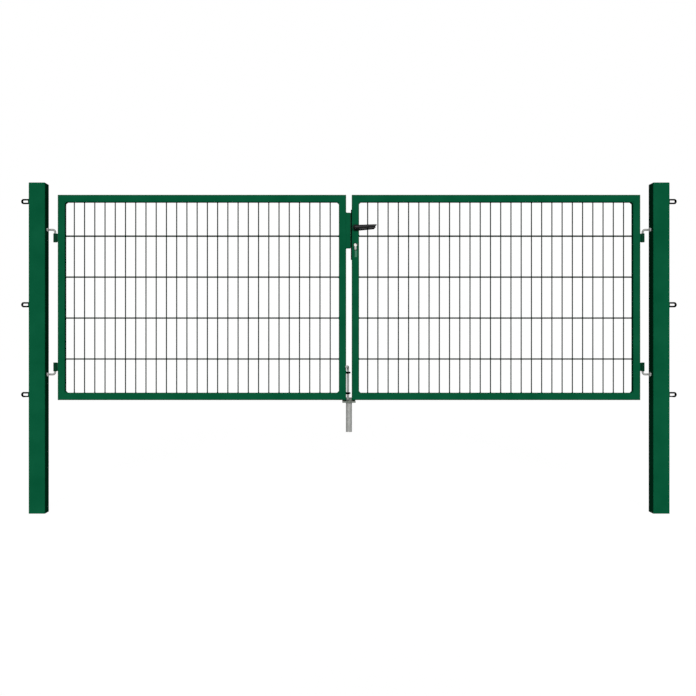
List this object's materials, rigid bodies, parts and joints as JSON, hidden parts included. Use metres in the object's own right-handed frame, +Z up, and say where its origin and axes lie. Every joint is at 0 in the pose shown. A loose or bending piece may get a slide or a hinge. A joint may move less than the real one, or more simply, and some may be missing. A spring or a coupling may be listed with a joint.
{
  "type": "double fence gate",
  "caption": "Green double fence gate of square tube with welded wire mesh, two square posts, lever lock, drop bolt and ground stop.",
  "frame": {"origin": "centre of the left post's foot, at its underside", "axes": "+X from the left post to the right post, +Y away from the side where the leaves open, +Z up"},
  "size_m": [3.203, 0.1217, 1.607],
  "materials": {
    "green_coat": "satin powder coat",
    "black_coat": "satin powder coat",
    "galvanised_steel": "zinc plated",
    "black_plastic": "fine grain",
    "nickel": "satin nickel plate"
  },
  "bodies": {
    "root": {"post_left": "green_coat", "post_right": "green_coat", "post_cap_left": "green_coat", "post_cap_right": "green_coat", "fence_loops_left": "black_coat", "fence_loops_right": "black_coat", "hinge_hooks_left": "galvanised_steel", "hinge_hooks_right": "galvanised_steel", "hook_nut_left_upper": "galvanised_steel", "hook_nut_left_lower": "galvanised_steel", "hook_nut_right_upper": "galvanised_steel", "hook_nut_right_lower": "galvanised_steel", "ground_stop_plate": "galvanised_steel", "ground_socket": "galvanised_steel"},
    "left_leaf": {"left_bottom_rail": "green_coat", "left_top_rail": "green_coat", "left_hinge_stile": "green_coat", "left_meeting_stile": "green_coat", "left_mesh": "green_coat", "hinge_sleeve_left_upper": "green_coat", "hinge_sleeve_left_lower": "green_coat", "lock_keep": "green_coat", "bolt_guide_upper": "black_coat", "bolt_guide_lower": "black_coat"},
    "right_leaf": {"right_bottom_rail": "green_coat", "right_top_rail": "green_coat", "right_hinge_stile": "green_coat", "right_meeting_stile": "green_coat", "right_mesh": "green_coat", "hinge_sleeve_right_upper": "green_coat", "hinge_sleeve_right_lower": "green_coat", "lock_forend": "black_coat", "lock_cylinder": "nickel", "rosette_front": "black_plastic", "rosette_back": "black_plastic"},
    "lever": {"lever_front": "black_plastic", "lever_back": "black_plastic", "lever_spindle": "galvanised_steel"},
    "drop_bolt": {"drop_bolt_rod": "galvanised_steel"}
  },
  "joints": [
    {"name": "left_leaf_hinge", "type": "hinge", "parent": "root", "child": "left_leaf", "pos_m": [0.08, 0, 1], "axis": [0, 0, -1], "range_deg": [0, 100]},
    {"name": "right_leaf_hinge", "type": "hinge", "parent": "root", "child": "right_leaf", "pos_m": [2.95, 0, 1], "axis": [0, 0, 1], "range_deg": [0, 100]},
    {"name": "lever_turn", "type": "hinge", "parent": "right_leaf", "child": "lever", "pos_m": [1.5465, 0, 1.39], "axis": [0, 1, 0], "range_deg": [0, 45], "stiffness_Nm_per_rad": 0.8, "springref_deg": -28.65},
    {"name": "drop_bolt_slide", "type": "slide", "parent": "left_leaf", "child": "drop_bolt", "axis": [0, 0, 1], "range_m": [-0.016, 0.024]}
  ]
}
